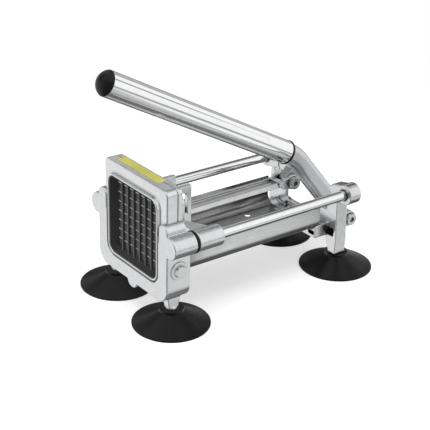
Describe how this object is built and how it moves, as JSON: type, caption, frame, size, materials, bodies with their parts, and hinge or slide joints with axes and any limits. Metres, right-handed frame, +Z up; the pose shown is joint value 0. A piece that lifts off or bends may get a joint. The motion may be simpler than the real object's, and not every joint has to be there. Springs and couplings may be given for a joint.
{
  "type": "french fry cutter",
  "caption": "Hand-lever french fry cutter: a lever and link push a studded block along guide rods through a square blade grid, on suction cup feet.",
  "frame": {"origin": "middle of the cutter's box on the table, under the trough", "axes": "+X to the cutter's right seen from the blades' side looking along +Y, +Y from the blades to the handle's pivot, +Z up"},
  "size_m": [0.164, 0.3014, 0.2344],
  "materials": {
    "cast_aluminium": "satin cast aluminium, tumbled",
    "sheet_steel": "brushed stainless sheet",
    "blade_steel": "ground blade steel",
    "liner_plastic": "dark grey moulded liner",
    "fastener_steel": "turned and plated steel",
    "polished_steel": "polished steel",
    "black_rubber": "smooth black rubber with a sheen",
    "pusher_plastic": "dark grey moulded plastic",
    "bearing_bronze": "plain bearing bronze",
    "label_film": "plain pale yellow film"
  },
  "bodies": {
    "base": {"front_casting": "cast_aluminium", "cassette_front": "cast_aluminium", "cassette_back": "cast_aluminium", "blade_frame": "liner_plastic", "vertical_blades": "blade_steel", "horizontal_blades": "blade_steel", "cassette_bolts": "fastener_steel", "cassette_screws": "fastener_steel", "guide_rod_left": "polished_steel", "guide_rod_right": "polished_steel", "rod_bumpers": "black_rubber", "trough": "sheet_steel", "trough_screws": "fastener_steel", "rear_casting": "cast_aluminium", "rod_set_screws": "fastener_steel", "suction_cup_front_left": "black_rubber", "suction_cup_front_right": "black_rubber", "suction_cup_rear_left": "black_rubber", "suction_cup_rear_right": "black_rubber", "pivot_bolt": "fastener_steel", "pivot_nut": "fastener_steel", "label_strip": "label_film"},
    "handle": {"handle_arm": "cast_aluminium", "pivot_bushes": "bearing_bronze", "handle_grip": "polished_steel", "grip_cap": "black_rubber", "grip_ring": "black_rubber"},
    "link": {"link_bar": "cast_aluminium", "link_bolt": "fastener_steel", "link_nut": "fastener_steel", "link_front_pin": "fastener_steel"},
    "pusher": {"pusher_frame": "cast_aluminium", "pusher_block": "pusher_plastic", "slider_bushings": "bearing_bronze", "pusher_screws": "fastener_steel"}
  },
  "joints": [
    {"name": "handle_swing", "type": "hinge", "parent": "base", "child": "handle", "pos_m": [0, 0.1422, 0.0281], "axis": [-1, 0, 0], "range_deg": [0, 75]},
    {"name": "link_pivot", "type": "hinge", "parent": "handle", "child": "link", "pos_m": [0, 0.06665, 0.08503], "axis": [1, 0, 0], "range_deg": [0, 87.9]},
    {"name": "pusher_slide", "type": "slide", "parent": "base", "child": "pusher", "axis": [0, 1, 0], "range_m": [0, 0.11464]}
  ],
  "couplings": [
    {"joint": "link_pivot", "follows": "handle_swing", "ratio": 1.1721},
    {"joint": "pusher_slide", "follows": "handle_swing", "m_per_rad": 0.087575}
  ]
}
